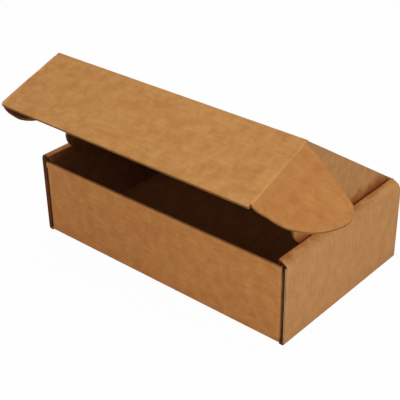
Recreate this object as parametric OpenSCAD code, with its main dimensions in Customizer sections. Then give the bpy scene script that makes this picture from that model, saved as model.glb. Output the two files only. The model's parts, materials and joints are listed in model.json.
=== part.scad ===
// Corrugated mailer box with rolled ends and a lock front, standing with its lid part open.
// Origin: centre of the underside. X to the right, Y to the back, Z up. Millimetres.
// The real box is one cut and creased blank of single wall board. The tray is one solid.
// Each flap that turns on its own crease is a body of its own, joined along that crease.

/* [Box] */
// Width over the two rolled ends
box_w = 305; // [260:1:400]
// Depth from the front wall to the back wall
box_d = 182; // [170:1:260]
// Height of the back wall, up to the lid crease
back_h = 83.1; // [60:0.1:120]
// How much lower the front wall is than the back wall
front_drop = 3.1; // [2:0.1:8]

/* [Board] */
// Thickness of the corrugated board
board = 2.4; // [1.8:0.1:2.6]
// Clearance between layers that lie or slide on each other
gap = 0.3; // [0.2:0.05:0.4]

/* [Rolled ends] */
// Width of the narrow panel between those two creases
strip_w = 9.9; // [8:0.1:10.4]
// How far the inner crease of both ends stands above the back wall
roll_rise = 4.3; // [3:0.1:5]
// How far the outer crease of the right end is pressed down below its inner crease
press_right = 4.6; // [0:0.1:5]
// How far the outer crease of the left end is pressed down below its inner crease
press_left = 0.2; // [0:0.1:5]
// Outside radius of the outer crease of the right end, which has gone soft and round
soft_right_r = 4.5; // [2:0.5:9]
// Outside radius of the outer crease of the left end
soft_left_r = 3.5; // [2:0.5:6]
// Outside radius of the inner crease of both ends
inner_crease_r = 1.8; // [1:0.1:2.4]
// Height over which the inner wall leans out to its top crease
lean_len = 10.9; // [8:0.1:16]
// How far the narrow panel is cut back behind the front edge of the outer wall
strip_cut = 0.6; // [0.4:0.1:2]
// Length of each locking tab on the inner walls
tab_len = 39; // [20:1:50]
// Distance of the locking tabs from the middle of the end
tab_at = 43; // [30:1:50]

/* [Corner flaps] */
// Length of the flaps folded back inside the rolled ends
dust_len = 54; // [30:1:60]
// How much lower those flaps are than the front wall
dust_drop = 6; // [3:0.5:20]
// Relief cut between those flaps and the bottom panel
dust_relief = 1.6; // [0.5:0.1:4]

/* [Lid] */
// Angle by which the lid stands open
lid_open = 34; // [0:1:100]
// Play between the lid's side flaps and the inner walls
side_play = 0.4; // [0.3:0.1:1]
// Room below the lid's side flaps when the lid is shut
side_lift = 1; // [0.5:0.1:20]
// Distance from the lid crease to the rear end of the side flaps
side_rear = 6; // [4:0.5:12]
// Distance from the tuck crease to the front end of the side flaps, along their crease
side_front_cut = 8.3; // [6:0.1:20]
// How far the front edge of the side flaps slants back towards their foot
side_slant = 37.5; // [10:0.5:60]
// Radius of the front lower corner of the side flaps
side_r = 18; // [6:1:20]
// Radius of the rear lower corner of the side flaps
side_rear_r = 8; // [3:1:14]

/* [Tuck flap] */
// Height of the foot of the tuck flap above the ground when the box is shut
tuck_lift = 4.8; // [2:0.1:20]
// Fold of the tuck flap from the plane of the lid
tuck_fold = 54; // [10:1:85]
// Radius of the lower corners of the tuck flap
tuck_r = 1.5; // [0.5:0.1:2]
// Radius of the small notch at the foot of each ear crease
notch_r = 1.1; // [0.6:0.1:1.5]

/* [Ears] */
// How far the ears reach out from their creases
ear_reach = 67.7; // [50:0.1:70]
// Distance from the tuck crease to the upper end of the ear creases
ear_top = 4.2; // [4:0.1:8]
// Radius of the nose of the ears
ear_nose_r = 16; // [10:0.5:18]
// Distance from the foot of the tuck flap to the centre of that nose
ear_nose_up = 37; // [34:0.1:42]
// Angle at which the upper edge of the ears runs into the nose
ear_nose_turn = 155; // [140:1:175]
// Radius of the large lower curve of the ears
ear_curve_r = 48; // [30:0.5:52]
// Distance from the ear creases to the centre of that curve
ear_curve_out = 22; // [16:0.5:32]
// Angle at which that curve leaves the nose
ear_curve_turn = 64; // [50:1:90]
// Width of the narrow neck along the upper edge of the ears
ear_neck = 27; // [20:0.5:32]
// Fold of the right ear from the plane of the tuck flap
right_ear_fold = 17; // [0:1:80]
// Fold of the left ear, turned in under the tuck flap
left_ear_fold = 168; // [150:1:170]

/* [Hidden] */
$fn = 48;
kraft_tray = [0.65, 0.43, 0.25];
kraft_lid = [0.60, 0.41, 0.24];
kraft_flap = [0.72, 0.51, 0.29];
kraft_ear = [0.70, 0.49, 0.28];
kraft_side = [0.56, 0.38, 0.22];
half_w = box_w / 2;
half_d = box_d / 2;
half_board = board / 2;
front_h = back_h - front_drop;
roll_h = back_h + roll_rise;
lean_from = roll_h - lean_len;
// The layers of a rolled end, from the outside in: wall, ear slit, corner flap, inner wall
ear_axis_x = half_w - 2 * board - gap;
wall_end_x = ear_axis_x - gap;
dust_in_x = wall_end_x - board;
inner_back_x = dust_in_x - gap;
inner_face_x = inner_back_x - board;
inner_end_y = half_d - board - gap;
dust_foot = board + dust_relief;
dust_top = front_h - dust_drop;
// Hinged creases: a bead of half the board's thickness, and a neighbour set back from it
bead_back = half_board + gap;
hinge_y = half_d - half_board;
hinge_z = back_h + bead_back;
lid_len = hinge_y + half_d + bead_back;
lid_wide_x = inner_face_x - side_play;
side_axis_x = lid_wide_x - board;
lid_edge_x = side_axis_x - gap;
side_front = lid_len - side_front_cut;
side_foot = side_front - side_slant;
side_depth = hinge_z - half_board - board - side_lift;
tuck_len = hinge_z - tuck_lift;
// The crushed edge of an ear along its crease, and the hollow it turns in
crush_r = 0.375 * board;
hollow_r = crush_r + gap;
notch_v = tuck_len - tuck_r - 1.2 * notch_r;
ear_low = notch_v - gap / 2;
ear_foot_v = tuck_len - 0.8 * tuck_r;
ear_curve_at = [ear_foot_v - ear_curve_r, ear_curve_out];
ear_nose_at = [tuck_len - ear_nose_up, ear_reach - ear_nose_r];
ear_curve_end = -8;
arc_steps = 8;

function unit(v) = v / norm(v);
function left_of(v) = [-v.y, v.x];
function mitre(a, b, c) =
    let (n1 = left_of(unit(b - a)), n2 = left_of(unit(c - b)))
    (n1 + n2) / (1 + n1 * n2);
function arc(centre, r, from, to) =
    [for (i = [0:arc_steps]) let (a = from + (to - from) * i / arc_steps) centre + r * [cos(a), sin(a)]];
// The arc that rounds the corner at b of a path that turns left from a to c. The inset takes
// it to the inner face of the sheet, and back draws it from c to a.
function round_arc(a, b, c, r, inset, back) =
    let (
        n1 = left_of(unit(b - a)),
        n2 = left_of(unit(c - b)),
        from = atan2(-n1.y, -n1.x),
        to = from + acos(n1 * n2)
    )
    arc(b + r * mitre(a, b, c), r - inset, back ? to : from, back ? from : to);
function corner(a, b, c, r) = r == 0 ? [b] : round_arc(a, b, c, r, 0, false);
function inner_corner(a, b, c, r) =
    r > board ? round_arc(a, b, c, r, board, true) : [b + board * mitre(a, b, c)];
// A closed outline with each corner rounded by its own radius
function rounded(points, radii) =
    let (n = len(points))
    [for (i = [0:n - 1]) each corner(points[(i + n - 1) % n], points[i], points[(i + 1) % n], radii[i])];
// Section of a folded sheet: its outer side follows the path, its inner side lies to the left
function folded(path, radii) =
    let (
        last = len(path) - 1,
        foot = board * left_of(unit(path[1] - path[0])),
        tip = board * left_of(unit(path[last] - path[last - 1]))
    )
    concat(
        [path[0]],
        [for (i = [1:last - 1]) each corner(path[i - 1], path[i], path[i + 1], radii[i])],
        [path[last], path[last] + tip],
        [for (i = [last - 1:-1:1]) each inner_corner(path[i - 1], path[i], path[i + 1], radii[i])],
        [path[0] + foot]
    );
// A smooth bend from a to c, drawn towards b
function bend(a, b, c) =
    [for (i = [0:arc_steps]) let (t = i / arc_steps) (1 - t) * (1 - t) * a + 2 * t * (1 - t) * b + t * t * c];

// A section in X and Z, run along Y to both sides of the middle
module run_y(half_len) {
    translate([0, half_len, 0])
        rotate([90, 0, 0])
            linear_extrude(height = 2 * half_len)
                children();
}

// A section in Y and Z, run along X to both sides of the middle
module run_x(half_len) {
    translate([-half_len, 0, 0])
        rotate([90, 0, 90])
            linear_extrude(height = 2 * half_len)
                children();
}

// Right end of the tray: outer wall, narrow panel and inner wall, rolled over in one sheet
module rolled_end(press, soft_r) {
    crease_h = roll_h - press;
    roll_x = half_w - sqrt(strip_w * strip_w - press * press);
    wall_top = crease_h - soft_r * tan(acos(press / strip_w) / 2);
    wall_path = [[wall_end_x, 0], [half_w, 0], [half_w, wall_top]];
    strip_path = [[half_w, board], [half_w, crease_h], [roll_x, roll_h]];
    full_path = [
        [wall_end_x - half_board, 0],
        [half_w, 0],
        [half_w, crease_h],
        [roll_x, roll_h],
        [inner_face_x, lean_from],
        [inner_face_x, board + gap]
    ];
    run_y(half_d)
        polygon(folded(wall_path, [0, board, 0]));
    run_y(inner_end_y)
        polygon(folded(full_path, [0, board, soft_r, inner_crease_r, 0, 0]));
    translate([0, (inner_end_y - half_d + strip_cut) / 2, 0])
        run_y((inner_end_y + half_d - strip_cut) / 2)
            polygon(folded(strip_path, [0, soft_r, 0]));
    for (side = [-1, 1])
        translate([inner_face_x, side * tab_at - tab_len / 2, gap])
            cube([board, tab_len, 2 * board]);
}

// The slots in the bottom panel that take the tabs of the right inner wall
module tab_slots() {
    for (side = [-1, 1])
        translate([inner_face_x - gap, side * tab_at - tab_len / 2 - gap, -board])
            cube([board + 2 * gap, tab_len + 2 * gap, 3 * board]);
}

// Half of the bottom with the front wall, its ends folded back as the two corner flaps
module cross_wall(height) {
    wall_path = [[-gap, 0], [half_d, 0], [half_d, height]];
    flap_path = [
        [dust_in_x - board, -half_d],
        [wall_end_x, -half_d],
        [wall_end_x, dust_len - half_d]
    ];
    difference() {
        run_x(wall_end_x)
            mirror([1, 0])
                polygon(folded(wall_path, [0, board, 0]));
        for (flip = [0, 1])
            mirror([flip, 0, 0])
                translate([dust_in_x, -half_d - board, dust_foot])
                    cube([2 * board, 3 * board, dust_top - dust_foot]);
    }
    for (flip = [0, 1])
        mirror([flip, 0, 0])
            translate([0, 0, dust_foot])
                linear_extrude(height = dust_top - dust_foot)
                    polygon(folded(flap_path, [0, board, 0]));
}

module tray() {
    color(kraft_tray) {
        difference() {
            union() {
                cross_wall(front_h);
                mirror([0, 1, 0])
                    cross_wall(back_h);
            }
            tab_slots();
            mirror([1, 0, 0])
                tab_slots();
        }
        rolled_end(press_right, soft_right_r);
        mirror([1, 0, 0])
            rolled_end(press_left, soft_left_r);
    }
}

// Places the lid, drawn closed with its crease on the X axis and its front towards -Y
module at_lid() {
    translate([0, hinge_y, hinge_z])
        rotate([-lid_open, 0, 0])
            children();
}

// Places the tuck flap, drawn in the plane of the lid with its crease on the X axis
module at_tuck() {
    at_lid()
        translate([0, -lid_len, 0])
            rotate([tuck_fold, 0, 0])
                children();
}

// The turning edge of a hinged panel
module bead(half_len) {
    translate([-half_len, 0, 0])
        rotate([0, 90, 0])
            cylinder(h = 2 * half_len, r = half_board);
}

module lid() {
    side = [
        [lid_wide_x, 0],
        [lid_wide_x, -side_rear + gap],
        [lid_edge_x, -side_rear + gap],
        [lid_edge_x, -side_front - gap],
        [lid_wide_x, -side_front - gap],
        [lid_wide_x, bead_back - lid_len]
    ];
    color(kraft_lid)
        at_lid() {
            translate([0, 0, -half_board])
                linear_extrude(height = board)
                    for (flip = [0, 1])
                        mirror([flip, 0])
                            polygon(concat([[-gap, 0]], side, [[-gap, bead_back - lid_len]]));
            bead(lid_wide_x);
        }
}

// Side flap of the lid on the right: hangs from a crease on the inner face of the lid
module lid_flap() {
    outline = rounded(
        [[side_rear, 0], [side_front, 0], [side_foot, side_depth], [side_rear + 2, side_depth]],
        [0, 0, side_r, side_rear_r]
    );
    at_lid()
        translate([side_axis_x, 0, -half_board]) {
            rotate([0, 90, 0])
                rotate([0, 0, -90])
                    linear_extrude(height = board)
                        polygon(outline);
            intersection() {
                translate([0, -side_rear, 0])
                    rotate([90, 0, 0])
                        cylinder(h = side_front - side_rear, r = board);
                translate([0, -side_front, -half_board])
                    cube([board, side_front - side_rear, 2 * board]);
            }
        }
}

module right_lid_flap() {
    color(kraft_side)
        lid_flap();
}

module left_lid_flap() {
    color(kraft_side)
        mirror([1, 0, 0])
            lid_flap();
}

module tuck_flap() {
    outline = rounded(
        [[wall_end_x, 0], [-wall_end_x, 0], [-wall_end_x, -tuck_len], [wall_end_x, -tuck_len]],
        [0, 0, tuck_r, tuck_r]
    );
    color(kraft_flap)
        at_tuck()
            difference() {
                union() {
                    translate([0, 0, -half_board])
                        linear_extrude(height = board)
                            polygon(outline);
                    bead(wall_end_x);
                }
                for (side = [-1, 1]) {
                    translate([side * ear_axis_x, -ear_top + gap, -half_board])
                        rotate([90, 0, 0])
                            cylinder(h = ear_low - ear_top + 2 * gap, r = hollow_r);
                    translate([side * wall_end_x, -notch_v, -board])
                        cylinder(h = 2 * board, r = notch_r);
                }
            }
}

// Right ear, folded in by an angle from the plane of the tuck flap
module ear(fold) {
    outline = concat(
        bend([0, -ear_top], [0.44 * ear_neck, -ear_top - 1], [ear_neck, -ear_neck / 2]),
        [for (p = arc(ear_nose_at, ear_nose_r, ear_nose_turn, ear_curve_turn)) [p.y, -p.x]],
        [for (p = arc(ear_curve_at, ear_curve_r, ear_curve_turn, ear_curve_end)) [p.y, -p.x]],
        bend([0.3 * ear_neck, -ear_foot_v], [0.1 * ear_neck, -ear_foot_v], [0, -ear_low])
    );
    at_tuck()
        translate([ear_axis_x, 0, -half_board])
            rotate([0, fold, 0]) {
                linear_extrude(height = board)
                    polygon(outline);
                intersection() {
                    translate([0, -ear_top, 0])
                        rotate([90, 45, 0])
                            cylinder(h = ear_low - ear_top, r = crush_r);
                    translate([-board, -ear_low, 0])
                        cube([2 * board, ear_low - ear_top, board]);
                }
            }
}

module right_ear() {
    color(kraft_ear)
        ear(right_ear_fold);
}

module left_ear() {
    color(kraft_ear)
        mirror([1, 0, 0])
            ear(left_ear_fold);
}

tray();
lid();
tuck_flap();
left_ear();
right_ear();
left_lid_flap();
right_lid_flap();
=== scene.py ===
import bpy
import json
import math
from mathutils import Matrix, Vector


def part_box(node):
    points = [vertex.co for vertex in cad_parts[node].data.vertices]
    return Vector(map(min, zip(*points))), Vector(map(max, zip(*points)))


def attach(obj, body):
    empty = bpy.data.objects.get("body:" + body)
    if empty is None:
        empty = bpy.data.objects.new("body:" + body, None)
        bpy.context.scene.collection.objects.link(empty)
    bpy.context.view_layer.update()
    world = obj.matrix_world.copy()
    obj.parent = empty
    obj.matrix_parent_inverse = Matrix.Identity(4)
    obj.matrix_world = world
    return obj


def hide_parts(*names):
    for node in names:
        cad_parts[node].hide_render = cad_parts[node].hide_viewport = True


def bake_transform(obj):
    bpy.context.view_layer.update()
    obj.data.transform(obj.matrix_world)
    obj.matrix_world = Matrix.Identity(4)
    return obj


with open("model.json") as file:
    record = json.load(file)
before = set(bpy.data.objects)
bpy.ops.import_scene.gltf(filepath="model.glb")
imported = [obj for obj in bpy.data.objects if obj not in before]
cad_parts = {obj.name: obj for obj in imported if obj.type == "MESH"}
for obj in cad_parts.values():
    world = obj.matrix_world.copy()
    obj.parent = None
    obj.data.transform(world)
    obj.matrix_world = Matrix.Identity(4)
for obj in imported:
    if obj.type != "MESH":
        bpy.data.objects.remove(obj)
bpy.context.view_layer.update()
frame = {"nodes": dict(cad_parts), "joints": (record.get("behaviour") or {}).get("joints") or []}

# Tray
# The body of the blank: bottom, front and back wall, corner flaps, and two ends rolled over in
# three layers and locked by tabs in the bottom. Brown single wall board, die cut and creased,
# held by its own folds with no glue.
mm = 0.001
board = 2.4 * mm
liner = 0.3 * mm
half_core = board / 2 - liner
flute_pitch = 6.4 * mm
flute_paper = 0.2 * mm
steps_per_flute = 8
tray_low, tray_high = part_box("tray")
front_top = 80.0 * mm
wall_end = 147.1 * mm
inner_wall_end = 88.3 * mm
inner_face = 142.0 * mm
strip_wide = 9.9 * mm
groove = 3 * mm
quarter = math.radians(90)
smooth_under = math.radians(32)
unmoved = Matrix.Identity(4)
to_left = Matrix.Scale(-1, 4, (1, 0, 0))


def srgb(red, green, blue):
    return [((c / 255 + 0.055) / 1.055) ** 2.4 for c in (red, green, blue)]


def kraft(name, ruddy, straw, across, washboard=0.012, painted_band=None):
    """Kraft paper in two tones: soft patches, wisps and fibres that run along the flutes, a few
    flecks and the faint print of the flutes. A band of painted shade, or of a paler crease, is
    given by an axis, how far out on it the band is full and where it ends, the same on both sides, and its
    tint."""
    paper = bpy.data.materials.new(name)
    paper.use_nodes = True
    nodes, links = paper.node_tree.nodes, paper.node_tree.links
    shader = nodes["Principled BSDF"]
    shader.inputs["Roughness"].default_value = 0.85
    shader.inputs["Specular IOR Level"].default_value = 0.18

    def math_node(operation, first, second=0.0, third=0.0):
        step = nodes.new("ShaderNodeMath")
        step.operation = operation
        for socket, value in zip(step.inputs, (first, second, third)):
            if isinstance(value, (int, float)):
                socket.default_value = value
            else:
                links.new(value, socket)
        return step.outputs[0]

    def cloud(place, scale, detail, rough, swirl=0.0):
        noise = nodes.new("ShaderNodeTexNoise")
        noise.inputs["Scale"].default_value = scale
        noise.inputs["Detail"].default_value = detail
        noise.inputs["Roughness"].default_value = rough
        noise.inputs["Distortion"].default_value = swirl
        links.new(place, noise.inputs["Vector"])
        return noise.outputs["Fac"]

    place = nodes.new("ShaderNodeTexCoord").outputs["Object"]
    stretch = nodes.new("ShaderNodeVectorMath")
    stretch.operation = "DOT_PRODUCT"
    stretch.inputs[1].default_value = across
    links.new(place, stretch.inputs[0])
    over = stretch.outputs["Value"]
    drawn = nodes.new("ShaderNodeVectorMath")
    drawn.operation = "MULTIPLY_ADD"
    drawn.inputs[0].default_value = [3.5 * a for a in across]
    links.new(over, drawn.inputs[1])
    links.new(place, drawn.inputs[2])

    patches = cloud(place, 85, 4, 0.62, 0.3)
    wisps = cloud(drawn.outputs[0], 75, 3, 0.62, 0.2)
    fibres = cloud(drawn.outputs[0], 330, 2, 0.6)
    flecks = cloud(place, 330, 0, 0.5)
    wander = math_node("MULTIPLY_ADD", cloud(place, 9, 1, 0.5), 1.2 * mm, over)
    flutes = math_node("SINE", math_node("MULTIPLY", wander, 2 * math.pi / flute_pitch))
    flutes = math_node("MULTIPLY", flutes, math_node("MULTIPLY", cloud(place, 25, 1, 0.5), 2))

    tint = nodes.new("ShaderNodeMapRange")
    tint.inputs["From Min"].default_value = 0.32
    tint.inputs["From Max"].default_value = 0.68
    links.new(patches, tint.inputs["Value"])
    # a Mix node takes its two colours at sockets 6 and 7, and gives the result at 2
    blend = nodes.new("ShaderNodeMix")
    blend.data_type = "RGBA"
    blend.inputs[6].default_value = (*ruddy, 1)
    blend.inputs[7].default_value = (*straw, 1)
    links.new(tint.outputs[0], blend.inputs[0])

    shade = math_node("MULTIPLY_ADD", wisps, 0.3, 0.85)
    shade = math_node("ADD", shade, math_node("MULTIPLY_ADD", fibres, 0.16, -0.08))
    shade = math_node("ADD", shade, math_node("MULTIPLY", flutes, washboard))
    fleck = math_node("GREATER_THAN", flecks, 0.84)
    shade = math_node("MULTIPLY", shade, math_node("MULTIPLY_ADD", fleck, -0.16, 1))
    colour = blend.outputs[2]
    # The band multiplies into the colour: painted shade, and warm reflected light, on the end strips and
    # side flaps; a paler crease on the tuck flap.
    if painted_band:
        axis, full, ending, band_tint = painted_band
        apart = nodes.new("ShaderNodeSeparateXYZ")
        links.new(place, apart.inputs[0])
        band_fade = nodes.new("ShaderNodeMapRange")
        band_fade.interpolation_type = "SMOOTHSTEP"
        band_fade.inputs["From Min"].default_value = full
        band_fade.inputs["From Max"].default_value = ending
        band_fade.inputs["To Min"].default_value = 1
        band_fade.inputs["To Max"].default_value = 0
        wavy = math_node("MULTIPLY_ADD", patches, 12 * mm, -6 * mm)
        reach = math_node("ADD", math_node("ABSOLUTE", apart.outputs[axis]), wavy)
        links.new(reach, band_fade.inputs["Value"])
        mark = nodes.new("ShaderNodeMix")
        mark.data_type = "RGBA"
        mark.blend_type = "MULTIPLY"
        mark.inputs[7].default_value = (*band_tint, 1)
        links.new(band_fade.outputs[0], mark.inputs[0])
        links.new(colour, mark.inputs[6])
        colour = mark.outputs[2]
    tone = nodes.new("ShaderNodeVectorMath")
    tone.operation = "SCALE"
    links.new(colour, tone.inputs[0])
    links.new(shade, tone.inputs["Scale"])
    links.new(tone.outputs[0], shader.inputs["Base Color"])

    height = math_node("ADD", math_node("MULTIPLY", fibres, 0.5), math_node("MULTIPLY", flutes, 0.25))
    bump = nodes.new("ShaderNodeBump")
    bump.inputs["Strength"].default_value = 0.5
    bump.inputs["Distance"].default_value = 0.12 * mm
    links.new(height, bump.inputs["Height"])
    links.new(bump.outputs[0], shader.inputs["Normal"])
    return paper


def only(*pieces):
    """Selects these pieces alone, with the first one active."""
    bpy.ops.object.select_all(action="DESELECT")
    for piece in pieces:
        piece.select_set(True)
    bpy.context.view_layer.objects.active = pieces[0]


def blank_from(node, name, finish):
    """The blank of a piece: a copy of its solid, merged and in its own finish."""
    piece = bpy.data.objects.new(name, frame["nodes"][node].data.copy())
    bpy.context.scene.collection.objects.link(piece)
    piece.data.materials.clear()
    piece.data.materials.append(finish)
    only(piece)
    bpy.ops.mesh.customdata_custom_splitnormals_clear()
    bpy.ops.object.mode_set(mode="EDIT")
    bpy.ops.mesh.select_all(action="SELECT")
    bpy.ops.mesh.remove_doubles(threshold=0.002 * mm)
    bpy.ops.mesh.dissolve_limited(angle_limit=math.radians(0.2))
    bpy.ops.object.mode_set(mode="OBJECT")
    return piece


def slice_up(piece, place, axis, cuts):
    """Cuts a mesh across, at distances along one axis of a place, so that it can bend."""
    only(piece)
    bpy.ops.object.mode_set(mode="EDIT")
    normal = place.to_3x3() @ Vector([i == axis for i in range(3)])
    for cut in cuts:
        at = place @ Vector([cut * (i == axis) for i in range(3)])
        bpy.ops.mesh.select_all(action="SELECT")
        bpy.ops.mesh.bisect(plane_co=at, plane_no=normal)
    bpy.ops.object.mode_set(mode="OBJECT")


def trim(piece, tool, operation="DIFFERENCE"):
    """Cuts a piece with a tool, whose own finish goes on the faces that it leaves."""
    step = piece.modifiers.new("trim", "BOOLEAN")
    step.operation = operation
    step.solver = "EXACT"
    step.material_mode = "TRANSFER"
    step.object = tool
    only(piece)
    bpy.ops.object.modifier_apply(modifier=step.name)
    bpy.data.objects.remove(tool)


def block(low, high, finish, place=unmoved):
    """A cutting block between two corners, in a piece's own plane or in the box's frame."""
    bpy.ops.object.select_all(action="DESELECT")
    middle = (Vector(low) + Vector(high)) / 2
    bpy.ops.mesh.primitive_cube_add(size=1, location=middle, scale=Vector(high) - Vector(low))
    tool = bpy.context.object
    bpy.ops.object.transform_apply(location=True, rotation=True, scale=True)
    tool.data.transform(place)
    tool.data.materials.append(finish)
    return tool


def add_to(piece, part):
    only(piece, part)
    bpy.ops.object.join()


def settle(piece, body, slot, *nodes):
    """Shades a finished piece and sets it on its body in place of its solids."""
    only(piece)
    bpy.ops.object.shade_smooth_by_angle(angle=smooth_under)
    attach(piece, body)
    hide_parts(*nodes)


# Painted shade: this dark finish goes on the hollows of the open core and on the flat cut ends of the end
# walls, which lie in shade.
core_painted_shade = kraft("open_core_painted_shade", srgb(84, 38, 16), srgb(102, 48, 22), (0, 1, 0), 0)
tray_walls = kraft("tray_wall_kraft", srgb(178, 114, 60), srgb(191, 132, 72), (0, 0, 1))
# Painted shadow: each end's top strip is darker and redder near its inner crease, where the ear and the
# lid's side flap shade it.
strip_painted_shade = 0, 144 * mm, 149 * mm, (0.86, 0.66, 0.52)
# The end walls take a paler, less saturated copy of the wall kraft: painted light, standing in for a cooler
# light from the right.
ends_painted_light = kraft("end_wall_kraft_painted_light", srgb(182, 128, 76), srgb(193, 142, 88), (0, 1, 0), 0.02, strip_painted_shade)
# The inside liner is a little darker than the outside, and its colour is darkened much further as painted
# shade for the dim inside of the closed box.
inside_liner_and_shade = kraft("inside_liner_and_painted_shade", srgb(118, 70, 37), srgb(134, 84, 46), (0, 1, 0))
tray = blank_from("tray", "folded_tray", tray_walls)
for finish in (ends_painted_light, inside_liner_and_shade, core_painted_shade):
    tray.data.materials.append(finish)
on_end, on_inside, on_core = 1, 2, 3
for side in (1, -1):
    slice_up(tray, unmoved, 0, [side * (tray_high.x - liner)])
for face in tray.data.polygons:
    spot, facing = face.center, face.normal
    out = abs(spot.x)
    looks_in = spot.x * facing.x < -0.5 * out
    on_bottom = spot.z < 2 * board and facing.z > 0.5
    behind_wall = out < inner_face + board and abs(spot.y) < tray_high.y - board / 2 and facing.z < 0.5
    # Painted shade: the flat cut ends of the end walls take the dark core finish.
    if abs(facing.y) > 0.9 and wall_end < out < tray_high.x - liner:
        face.material_index = on_core
    elif looks_in or on_bottom:
        face.material_index = on_inside
    elif out > inner_face and facing.z > -0.5 and abs(facing.y) < 0.5:
        face.material_index = on_end
    elif behind_wall:
        face.material_index = on_inside


def open_roll(side, press, round_r, deep):
    """Opens the core at both cut edges of a rolled end, along its wall and narrow panel. The
    roll is pressed down at its outer crease and has a round of its own there."""
    foot = 1.4 * mm
    crease = tray_high.z - press
    strip = Vector((-math.sqrt(strip_wide ** 2 - press ** 2), 0, press))
    turn = Vector((0, 0, 1)).angle(strip)
    bend_at = Vector((tray_high.x - liner, 0, crease - liner * math.tan(turn / 2)))
    for near, far in ((tray_low.y - mm, tray_low.y + deep), (tray_high.y - deep, tray_high.y + mm)):
        bpy.ops.object.select_all(action="DESELECT")
        bpy.ops.mesh.primitive_plane_add(size=1)
        tool = bpy.context.object
        for corner in tool.data.vertices:
            corner.select = corner.co.x > 0
            height = bend_at.z if corner.co.x > 0 else foot
            corner.co = (bend_at.x, near if corner.co.y < 0 else far, height)
        for line in tool.data.edges:
            line.select = all(tool.data.vertices[i].select for i in line.vertices)
        for face in tool.data.polygons:
            face.select = False
        bpy.ops.object.mode_set(mode="EDIT")
        bpy.ops.mesh.select_mode(type="EDGE")
        reach = strip.normalized() * (strip_wide - groove)
        bpy.ops.mesh.extrude_region_move(TRANSFORM_OT_translate={"value": reach})
        bpy.ops.mesh.select_all(action="DESELECT")
        bpy.ops.object.mode_set(mode="OBJECT")
        for line in tool.data.edges:
            ends = [tool.data.vertices[i].co for i in line.vertices]
            line.select = all(abs(end.z - bend_at.z) < 0.01 * mm for end in ends)
        bpy.ops.object.mode_set(mode="EDIT")
        setback = (round_r - liner) * math.tan(turn / 2)
        bpy.ops.mesh.bevel(offset=setback, offset_type="OFFSET", segments=8, affect="EDGES")
        bpy.ops.object.mode_set(mode="OBJECT")
        core = tool.modifiers.new("core", "SOLIDIFY")
        core.thickness = 2 * half_core
        core.offset = -1 if tool.data.polygons[0].normal.x > 0 else 1
        core.use_even_offset = True
        only(tool)
        bpy.ops.object.modifier_apply(modifier=core.name)
        if side < 0:
            tool.data.transform(to_left)
            tool.data.flip_normals()
        # The faces that the tool leaves take the dark finish, as painted shade in the hollow core.
        tool.data.materials.append(core_painted_shade)
        trim(tray, tool)


def corrugate(piece, place, low, high, finish):
    """Opens a stretch of the core between the liners and sets the fluted paper in it. The
    place has its X axis along the flutes, Y across them and Z out of the middle of the board."""
    width, length = high[0] - low[0], high[1] - low[1]
    waves = max(2, round(length / flute_pitch * steps_per_flute))
    bpy.ops.object.select_all(action="DESELECT")
    bpy.ops.mesh.primitive_grid_add(x_subdivisions=1, y_subdivisions=waves, size=1)
    medium = bpy.context.object
    for point in medium.data.vertices:
        across = low[1] + (point.co.y + 0.5) * length
        height = (half_core - flute_paper / 2) * math.sin(2 * math.pi * across / flute_pitch)
        point.co = (low[0] + (point.co.x + 0.5) * width, across, height)
    sheet = medium.modifiers.new("sheet", "SOLIDIFY")
    sheet.thickness = flute_paper
    sheet.offset = 0
    only(medium)
    bpy.ops.object.modifier_apply(modifier=sheet.name)
    medium.data.transform(place)
    medium.data.materials.append(finish)
    outline = piece.copy()
    outline.data = piece.data.copy()
    bpy.context.scene.collection.objects.link(outline)
    trim(medium, outline, "INTERSECT")
    for face in medium.data.polygons:
        face.material_index = 0
    trim(piece, block((*low, -half_core), (*high, half_core), finish, place))
    add_to(piece, medium)


open_roll(1, 4.6 * mm, 4.5 * mm, groove)
open_roll(-1, 0.2 * mm, 3.5 * mm, 0.7 * mm)

# The inner walls stand upright and lean out at the top. Their cut ends are open too.
lean_tall, lean_out = 10.9 * mm, 1.73 * mm
lean = math.atan2(lean_out, lean_tall)
lean_foot = Matrix.Translation((inner_face, 0, tray_high.z - lean_tall))
wall_foot = Matrix.Translation((inner_face, 0, 0))
slot_play = 0.15 * mm
for side in (1, -1):
    for end in (-1, 1):
        near, far = sorted((end * (inner_wall_end + slot_play), end * (inner_wall_end - 2.2 * mm)))
        # The faces that these blocks leave take the dark finish, as painted shade in the hollow.
        upright = block((liner, near, 5 * mm), (board - liner, far, tray_high.z - lean_tall), core_painted_shade)
        upright.data.transform(wall_foot)
        leaning = block((liner, near, 0), (board - liner, far, 8.2 * mm), core_painted_shade)
        leaning.data.transform(lean_foot @ Matrix.Rotation(lean, 4, "Y"))
        for tool in (upright, leaning):
            if side < 0:
                tool.data.transform(to_left)
                tool.data.flip_normals()
            trim(tray, tool)

# A strip of torn paper shows pale in the open core at the right front corner.
torn_paper = kraft("torn_paper_edge", srgb(206, 178, 146), srgb(222, 196, 164), (0, 1, 0), 0)
torn_in, torn_thick = 1.35 * mm, 0.4 * mm
torn_front, torn_back = tray_low.y + 0.1 * mm, tray_low.y + groove + 0.2 * mm
torn_low = tray_high.x - torn_in, torn_front, 2 * mm
torn_high = tray_high.x - torn_in + torn_thick, torn_back, tray_high.z - 7 * mm
add_to(tray, block(torn_low, torn_high, torn_paper))

# The top of the front wall was cut along the flutes, so the core is open there.
edge_paper = kraft("cut_edge_paper", srgb(150, 100, 56), srgb(168, 116, 68), (0, 1, 0), 0)
edge_deep = 2 * mm
front_core = Matrix.Translation((0, tray_low.y + board / 2, 0)) @ Matrix.Rotation(quarter, 4, "X")
edge_low = -wall_end - mm, front_top - edge_deep
edge_high = wall_end + mm, front_top + mm
corrugate(tray, front_core, edge_low, edge_high, edge_paper)
settle(tray, "tray", "tray_board", "tray")

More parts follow.
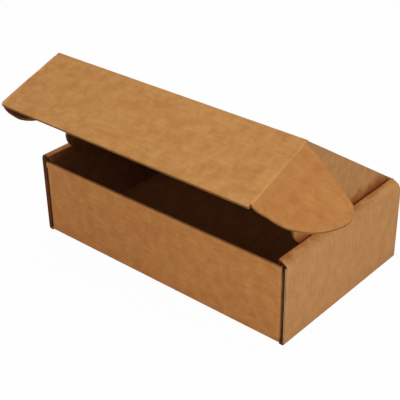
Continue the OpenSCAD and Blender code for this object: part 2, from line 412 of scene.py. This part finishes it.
# Lid
# One plain panel of the same board, hinged on the crease at the top of the back wall. Its crease
# is crushed on the outside, and a thin bead of liner runs round the crease of each side flap.
joint_at = {joint["name"]: Vector(joint["pos_m"]) for joint in frame["joints"]}
lid_open = math.radians(34)
lid_place = Matrix.Translation(joint_at["lid_crease"]) @ Matrix.Rotation(-lid_open, 4, "X")
lid_across = lid_place.to_3x3() @ Vector((0, 1, 0))
lid_wide = 141.6 * mm


def turned_band(place, ends, near_r, far_r, turn, finish, lead=0.0, steps=10):
    """A band of liner round a crease on the X axis of its place. It runs straight for the lead,
    and then turns from Y towards Z."""
    bpy.ops.object.select_all(action="DESELECT")
    bpy.ops.mesh.primitive_plane_add(size=1)
    band = bpy.context.object
    for corner in band.data.vertices:
        corner.co = (ends[corner.co.x > 0], far_r if corner.co.y > 0 else near_r, 0)
    bpy.ops.object.mode_set(mode="EDIT")
    bpy.ops.mesh.select_all(action="SELECT")
    if turn:
        bpy.ops.mesh.spin(steps=steps, angle=turn, center=(0, 0, 0), axis=(1, 0, 0))
    bpy.ops.mesh.select_all(action="DESELECT")
    bpy.ops.object.mode_set(mode="OBJECT")
    if sum(point.co.z for point in band.data.vertices) < 0:
        band.data.transform(Matrix.Scale(-1, 4, (0, 0, 1)))
    for face in band.data.polygons:
        face.select = all(abs(band.data.vertices[i].co.z) < 0.001 * mm for i in face.vertices)
    bpy.ops.object.mode_set(mode="EDIT")
    bpy.ops.mesh.select_mode(type="FACE")
    if lead:
        bpy.ops.mesh.extrude_region_move(TRANSFORM_OT_translate={"value": (0, 0, -lead)})
    bpy.ops.mesh.select_all(action="SELECT")
    bpy.ops.mesh.remove_doubles(threshold=0.001 * mm)
    bpy.ops.mesh.normals_make_consistent(inside=False)
    bpy.ops.object.mode_set(mode="OBJECT")
    band.data.transform(place)
    band.data.materials.append(finish)
    return band


def side_band(place, sign, rows, near_r, far_r, turn, finish, lead=0.0):
    """A band of liner round a crease along the Y axis of its place, turned to one side of it."""
    turned = place @ Matrix(((0, 0, sign), (sign, 0, 0), (0, 1, 0))).to_4x4()
    ends = sorted(-sign * row for row in rows)
    return turned_band(turned, ends, near_r, far_r, turn, finish, lead, steps=8)


def line_inside(piece, facing, finish):
    """Puts the inner liner's finish, darkened as painted shade, on the faces of a panel that look one way.
    """
    piece.data.materials.append(finish)
    for face in piece.data.polygons:
        if face.normal.dot(facing) > 0.9:
            face.material_index = len(piece.data.materials) - 1


lid_kraft = kraft("lid_kraft", srgb(172, 120, 70), srgb(188, 138, 84), lid_across)
crease_kraft = kraft("crease_kraft", srgb(178, 124, 72), srgb(204, 154, 99), (1, 0, 0), 0)
crushed = half_core, board / 2 + 0.01 * mm
crush_turn = math.radians(92)
side_axis = 139.2 * mm
side_rows = 6.2 * mm, 173.8 * mm
inner_wrap = 1.72 * mm, 2.02 * mm
wrap = math.radians(85)
bead_lead = 0.3 * mm
lid = blank_from("lid", "lid_panel", lid_kraft)
line_inside(lid, lid_place.to_3x3() @ Vector((0, 0, -1)), inside_liner_and_shade)
trim(lid, turned_band(lid_place, (-lid_wide - mm, lid_wide + mm), *crushed, crush_turn, lid_kraft))
side_at = {}
for word, sign in (("right", 1), ("left", -1)):
    side_at[word] = lid_place @ Matrix.Translation((sign * side_axis, 0, -board / 2))
    add_to(lid, side_band(side_at[word], sign, side_rows, *inner_wrap, wrap, crease_kraft, bead_lead))
    add_to(lid, side_band(side_at[word], sign, side_rows, board - liner, board, 0, crease_kraft, bead_lead))
settle(lid, "lid", "lid_board", "lid")

# Side flaps of the lid
# A tall flap hangs from each side edge of the lid and slides down inside the rolled end. Its lower
# part, next to the roll, is painted darker and redder: painted shade, with painted warm light reflected
# from the roll. It is cut all round, so the flutes show along its slanted front and its foot. The bead
# of liner on the lid slides in a groove of the flap as the flap turns.
inner_room = 1.66 * mm, 2.08 * mm
room = math.radians(88)
row_play = 0.1 * mm
side_room = side_rows[0] - row_play, side_rows[1] + row_play
# Painted shade with a warm tint of light reflected from the roll, on the flap's lower part next to the roll
# top.
flap_foot_painted_shade = 2, 87 * mm, 103 * mm, (0.60, 0.36, 0.18)
side_tones = srgb(170, 119, 69), srgb(182, 133, 81)
side_kraft = kraft("side_flap_kraft", *side_tones, lid_across, painted_band=flap_foot_painted_shade)
flap_core = (3 * mm, -170 * mm), (90 * mm, 0)
for word, sign in (("right", 1), ("left", -1)):
    flap = blank_from(f"{word}_lid_flap", f"{word}_side_flap", side_kraft)
    line_inside(flap, Vector((-sign, 0, 0)), inside_liner_and_shade)
    middle = lid_place @ Matrix.Translation((sign * (side_axis + board / 2), 0, -board / 2))
    corrugate(flap, middle @ Matrix.Rotation(quarter, 4, "Y"), *flap_core, edge_paper)
    trim(flap, side_band(side_at[word], sign, side_room, *inner_room, room, side_kraft))
    settle(flap, f"{word}_lid_flap", "side_board", f"{word}_lid_flap")

# Tuck flap
# The front flap of the lid, bent down at its crease and open along its foot, where it was cut
# parallel to the flutes. An ear turns on each end of it, round a bead of liner with a groove.
tuck_fold = math.radians(54)
tuck_place = Matrix.Translation(joint_at["tuck_crease"]) @ Matrix.Rotation(tuck_fold - lid_open, 4, "X")
tuck_across = tuck_place.to_3x3() @ Vector((0, 1, 0))
tuck_long = 79.8 * mm
ear_axis = 147.4 * mm
ear_rows = 4.8 * mm, 76.2 * mm
ear_room = ear_rows[0] - row_play, ear_rows[1] + row_play
outer_room = 2.06 * mm, 2.37 * mm
pale_crease = 0, ear_axis, 144.6 * mm, (1.11, 1.12, 1.13)
tuck_tones = srgb(174, 118, 64), srgb(188, 137, 79)
tuck_kraft = kraft("tuck_flap_kraft", *tuck_tones, tuck_across, painted_band=pale_crease)
tuck = blank_from("tuck_flap", "tuck_panel", tuck_kraft)
line_inside(tuck, tuck_place.to_3x3() @ Vector((0, 0, -1)), inside_liner_and_shade)
trim(tuck, turned_band(tuck_place, (-lid_wide, lid_wide), *crushed, crush_turn, tuck_kraft))
foot_low = -wall_end - mm, -tuck_long - mm
foot_high = wall_end + mm, -tuck_long + edge_deep
corrugate(tuck, tuck_place, foot_low, foot_high, edge_paper)
ear_at = {}
for word, sign in (("right", 1), ("left", -1)):
    ear_at[word] = tuck_place @ Matrix.Translation((sign * ear_axis, 0, -board / 2))
    trim(tuck, side_band(ear_at[word], -sign, ear_room, *outer_room, room, tuck_kraft))
    add_to(tuck, side_band(ear_at[word], sign, ear_rows, *inner_wrap, wrap, crease_kraft, bead_lead))
settle(tuck, "tuck_flap", "tuck_board", "tuck_flap")

# Ears
# The two rounded ears that lock the front. The right one stands a little bent, and the left one
# is turned in under the flap and has curled. The bead of the tuck flap slides in a groove of the
# ear, and the ear's own wider bead in one of the tuck flap.
# Painted shade: the ears are a little darker than the tuck flap, so that the tilted ear takes no more light
# than the flap.
ear_painted_shade_kraft = kraft("ear_painted_shade_kraft", srgb(166, 107, 57), srgb(179, 124, 68), tuck_across)
# Painted shade: the ears' inner faces, and the open core of the left ear, are much darker, for the shade
# under the tuck flap.
ear_inside_painted_shade = kraft("ear_underside_painted_shade", srgb(84, 46, 25), srgb(98, 56, 30), tuck_across)
ear_fold = {"right": math.radians(17), "left": math.radians(168)}
outer_wrap = 2.10 * mm, 2.34 * mm
ear_core_from, ear_core_to = 2.5 * mm, 70 * mm
ear_core_long = 85 * mm
curl_from, curl_over = 16 * mm, 44 * mm
curl_steep, curl_past = math.radians(70), math.radians(-7)
bend_run = 20 * mm


def curl_angles(down):
    """The slope of the left ear at its crease and beyond its curl, at a place down the flap."""
    share = min(1, max(0, (down - curl_from) / curl_over))
    share = share * share * (3 - 2 * share)
    flat = math.pi - ear_fold["left"]
    return flat + share * (curl_steep - flat), flat + share * (curl_past - flat)


def curled(out, down, rise):
    """Where a point of the flat left ear goes: inwards from the crease, and below the flap."""
    first, last = curl_angles(down)
    rate = (last - first) / bend_run
    run = min(out, bend_run)
    slope = first + rate * max(run, 0)
    if abs(rate) < 1 or run <= 0:
        inwards, below = run * math.cos(first), run * math.sin(first)
    else:
        inwards = (math.sin(slope) - math.sin(first)) / rate
        below = (math.cos(first) - math.cos(slope)) / rate
    inwards += (out - run) * math.cos(slope) - rise * math.sin(slope)
    below += (out - run) * math.sin(slope) + rise * math.cos(slope)
    return inwards, below


for word, sign in (("right", 1), ("left", -1)):
    ear = blank_from(f"{word}_ear", f"{word}_locking_ear", ear_painted_shade_kraft)
    panel = ear_at[word] @ Matrix.Rotation(sign * ear_fold[word], 4, "Y")
    line_inside(ear, panel.to_3x3() @ Vector((0, 0, -1)), ear_inside_painted_shade)
    outwards = Matrix.Rotation(0 if sign > 0 else math.pi, 4, "Z")
    core = panel @ outwards @ Matrix.Translation((0, 0, board / 2))
    start, stop = sorted((-sign * ear_core_long, 0))
    # The left ear's open core takes the same painted shade.
    core_finish = edge_paper if word == "right" else ear_inside_painted_shade
    corrugate(ear, core, (ear_core_from, start), (ear_core_to, stop), core_finish)
    trim(ear, side_band(panel, sign, ear_room, *inner_room, room, ear_painted_shade_kraft))
    add_to(ear, side_band(panel, -sign, ear_rows, *outer_wrap, wrap, crease_kraft))
    if word == "left":
        slice_up(ear, panel, 0, [-2 * mm * i for i in range(1, 12)])
        slice_up(ear, panel, 0, [-4 * mm * i for i in range(6, 18)])
        slice_up(ear, panel, 1, [-4 * mm * i for i in range(4, 19)])
        flatten = panel.inverted()
        for point in ear.data.vertices:
            flat = flatten @ point.co
            inwards, below = curled(-flat.x, -flat.y, flat.z)
            point.co = ear_at[word] @ Vector((inwards, flat.y, -below))
    settle(ear, f"{word}_ear", "ear_board", f"{word}_ear")

# Liners of the lid's two long creases
# The outer liner isn't cut at the creases of the lid and of the tuck flap. It runs over from
# panel to panel, a little paler there, and is bent round the fold as the panel stands.
outer_r = board / 2
long_lead = 1.5 * mm
lid_edge = Matrix.Translation(joint_at["lid_crease"])
tuck_edge = tuck_place @ Matrix.Rotation(quarter - tuck_fold, 4, "X")
for name, fixed, moving, slot, edge, turn in (
    ("lid_crease_liner", "tray", "lid", "lid_board", lid_edge, quarter - lid_open),
    ("tuck_crease_liner", "lid", "tuck_flap", "tuck_board", tuck_edge, tuck_fold),
):
    band = turned_band(edge, (-lid_wide, lid_wide), half_core, outer_r, turn, crease_kraft, long_lead)
    band.name = name
    only(band)
    bpy.ops.object.shade_smooth_by_angle(angle=smooth_under)
    start = edge @ Vector((0, outer_r, 0))
    end = edge @ Vector((0, outer_r * math.cos(turn), outer_r * math.sin(turn)))
    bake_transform(band)

# Floor
# A plain pale sheet of studio paper under the box. Most of what the camera sees of it is an even
# white like the backdrop's, and the rest is the lit sheet, which keeps the shadow of the box.
bpy.ops.object.select_all(action="DESELECT")
bpy.ops.mesh.primitive_plane_add(size=12, location=(0, 0, -0.2 * mm))
floor = bpy.context.object
floor.name = "floor"
white = bpy.data.materials.new("white_floor")
white.use_nodes = True
nodes, links = white.node_tree.nodes, white.node_tree.links
ground = nodes["Principled BSDF"]
ground.inputs["Base Color"].default_value = (0.9, 0.9, 0.9, 1)
ground.inputs["Roughness"].default_value = 0.9
glow = nodes.new("ShaderNodeEmission")
rays = nodes.new("ShaderNodeLightPath")
even_share = nodes.new("ShaderNodeMath")
even_share.operation = "MULTIPLY"
even_share.inputs[1].default_value = 0.97
mix = nodes.new("ShaderNodeMixShader")
links.new(rays.outputs["Is Camera Ray"], even_share.inputs[0])
links.new(even_share.outputs[0], mix.inputs["Fac"])
links.new(ground.outputs[0], mix.inputs[1])
links.new(glow.outputs[0], mix.inputs[2])
links.new(mix.outputs[0], nodes["Material Output"].inputs["Surface"])
floor.data.materials.append(white)

# Light
# Soft light of a small product studio: one round softbox overhead, one at the right and one in
# front, in a pale room with a white backdrop.
world = bpy.context.scene.world or bpy.data.worlds.new("studio")
bpy.context.scene.world = world
world.use_nodes = True
nodes, links = world.node_tree.nodes, world.node_tree.links
daylight = nodes["Background"]
daylight.inputs["Color"].default_value = (1, 1, 1, 1)
daylight.inputs["Strength"].default_value = 0.22
backdrop = nodes.new("ShaderNodeBackground")
backdrop.inputs["Color"].default_value = (1, 1, 1, 1)
rays = nodes.new("ShaderNodeLightPath")
mix = nodes.new("ShaderNodeMixShader")
links.new(rays.outputs["Is Camera Ray"], mix.inputs["Fac"])
links.new(daylight.outputs[0], mix.inputs[1])
links.new(backdrop.outputs[0], mix.inputs[2])
links.new(mix.outputs[0], nodes["World Output"].inputs["Surface"])


def softbox(name, place, aim, size, watts):
    bpy.ops.object.select_all(action="DESELECT")
    bpy.ops.object.light_add(type="AREA", location=place)
    lamp = bpy.context.object
    lamp.name = name
    lamp.data.shape = "DISK"
    lamp.data.size = size
    lamp.data.energy = watts
    lamp.rotation_euler = (Vector(aim) - Vector(place)).to_track_quat("-Z", "Y").to_euler()


softbox("top_softbox", (-0.1, 0.1, 1.5), (0, 0, 0.1), 0.9, 8)
softbox("right_softbox", (1.5, -0.4, 0.9), (0.1, 0, 0.05), 0.8, 12)
softbox("front_softbox", (0.1, -1.5, 1.1), (0, 0, 0.05), 0.8, 9.5)

# Camera
# The view of the photograph, from the front right and above, with a long lens. Right, down and
# ahead are the directions of the picture, in the box's frame.
stand = Vector((0.541587, -0.639836, 0.543310))
right = Vector((0.75600621, 0.65439384, -0.01494337))
down = Vector((0.32243059, -0.39217018, -0.86153413))
ahead = Vector((-0.56964298, 0.64650696, -0.50747969))
bpy.ops.object.camera_add(location=stand)
camera = bpy.context.object
camera.matrix_world = Matrix.Translation(stand) @ Matrix((right, -down, -ahead)).transposed().to_4x4()
camera.data.lens = 88.03
camera.data.sensor_width = 36
bpy.context.scene.camera = camera
bpy.context.scene.view_settings.view_transform = "Standard"
